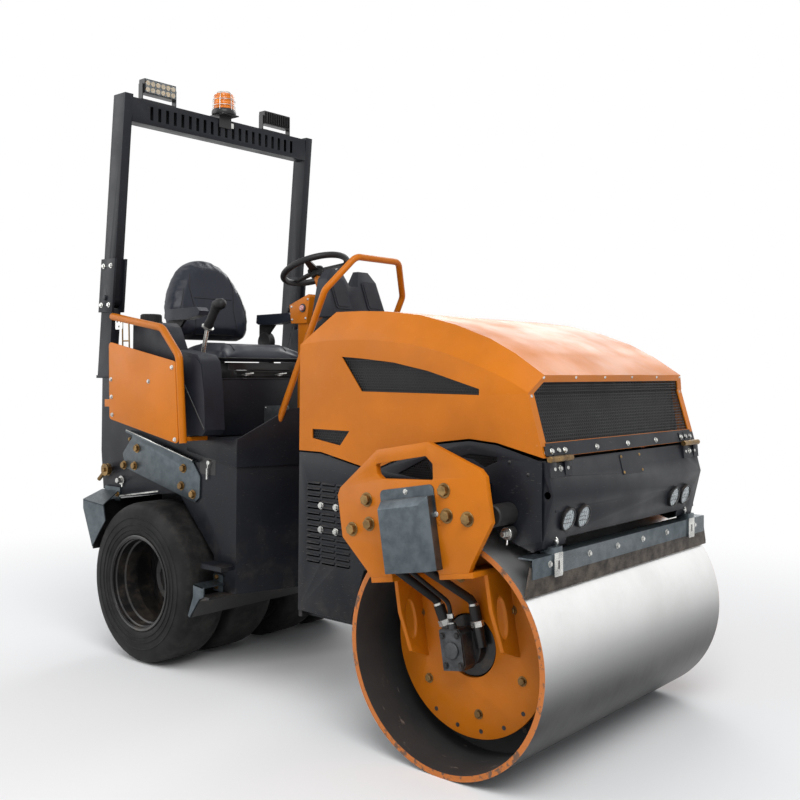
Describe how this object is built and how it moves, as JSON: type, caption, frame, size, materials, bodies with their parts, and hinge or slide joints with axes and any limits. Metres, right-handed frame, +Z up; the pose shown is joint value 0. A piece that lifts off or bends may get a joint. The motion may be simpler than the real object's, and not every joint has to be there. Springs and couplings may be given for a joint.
{
  "type": "combination roller",
  "caption": "Articulated combination roller with a steel drum in front, smooth tyres behind, an orange hood, an open driver's seat and a folding safety frame.",
  "frame": {"origin": "on the ground at the middle of the machine's length and width", "axes": "+X forward, +Y to the driver's left, +Z up"},
  "size_m": [2.474, 1.38, 2.466],
  "materials": {
    "orange_paint": "satin",
    "dark_paint": "satin",
    "black_paint": "satin",
    "drum_steel": "polished by rolling",
    "galvanised": "zinc plated, matt",
    "engine_iron": "as cast, painted dark",
    "black_mesh": "perforated sheet",
    "hose_rubber": "matt",
    "tyre": "matt",
    "seat_vinyl": "vinyl, satin",
    "black_plastic": "matt",
    "dark_plastic": "rotomoulded, satin",
    "lamp_glass": "clear",
    "amber_lens": "gloss",
    "bright_zinc": "bright zinc plated",
    "yellow_zinc": "yellow zinc plated"
  },
  "bodies": {
    "front_frame": {"fork_plates": "orange_paint", "right_drum_carrier": "orange_paint", "left_drum_carrier": "orange_paint", "drum_motors": "black_paint", "motor_hoses": "hose_rubber", "hose_covers": "galvanised", "front_chassis": "dark_paint", "engine_block": "engine_iron", "lower_side_panels": "dark_paint", "fenders": "dark_paint", "front_bumper": "dark_paint", "headlamps": "lamp_glass", "drum_scraper": "galvanised"},
    "drum": {"drum": "drum_steel"},
    "hood": {"hood_shell": "orange_paint", "hood_meshes": "black_mesh"},
    "knuckle": {"knuckle": "engine_iron"},
    "rear_frame": {"rear_chassis": "dark_paint", "platform_rim": "dark_paint", "seat_box": "dark_paint", "seat_slides": "black_paint", "seat_cushion": "seat_vinyl", "seat_back": "seat_vinyl", "armrests": "black_plastic", "side_tanks": "dark_plastic", "side_guards": "orange_paint", "bracket_plates": "galvanised", "steering_column": "orange_paint", "console": "dark_plastic", "grab_hoop": "orange_paint", "control_lever": "black_plastic", "tyre_scrapers": "galvanised", "rear_grips": "black_plastic", "frame_base": "dark_paint"},
    "safety_frame": {"safety_frame": "dark_paint", "work_lamps": "black_paint", "beacon": "amber_lens"},
    "steering_wheel": {"steering_wheel": "black_plastic"},
    "right_wheels": {"right_outer_tyre": "tyre", "right_inner_tyre": "tyre", "right_wheels": "black_paint"},
    "left_wheels": {"left_inner_tyre": "tyre", "left_outer_tyre": "tyre", "left_wheels": "black_paint"}
  },
  "joints": [
    {"name": "drum_spin", "type": "hinge", "parent": "front_frame", "child": "drum", "pos_m": [0.877, 0, 0.36], "axis": [0, 1, 0], "continuous": true},
    {"name": "hood_hinge", "type": "hinge", "parent": "front_frame", "child": "hood", "pos_m": [1.193, 0, 0.952], "axis": [0, 1, 0], "range_deg": [0, 50]},
    {"name": "steering_pivot", "type": "hinge", "parent": "front_frame", "child": "knuckle", "pos_m": [0.065, 0, 0.5], "axis": [0, 0, 1], "range_deg": [-30, 30]},
    {"name": "rear_roll", "type": "hinge", "parent": "knuckle", "child": "rear_frame", "pos_m": [0.065, 0, 0.5], "axis": [1, 0, 0], "range_deg": [-6, 6]},
    {"name": "frame_fold", "type": "hinge", "parent": "rear_frame", "child": "safety_frame", "pos_m": [-0.95071, 0, 1.496], "axis": [0, -1, 0], "range_deg": [0, 90]},
    {"name": "steering_wheel_turn", "type": "hinge", "parent": "rear_frame", "child": "steering_wheel", "pos_m": [-0.261, 0, 1.62], "axis": [-0.3746, 0, 0.9272], "continuous": true},
    {"name": "right_wheels_spin", "type": "hinge", "parent": "rear_frame", "child": "right_wheels", "pos_m": [-0.747, 0, 0.325], "axis": [0, 1, 0], "continuous": true},
    {"name": "left_wheels_spin", "type": "hinge", "parent": "rear_frame", "child": "left_wheels", "pos_m": [-0.747, 0, 0.325], "axis": [0, 1, 0], "continuous": true}
  ]
}
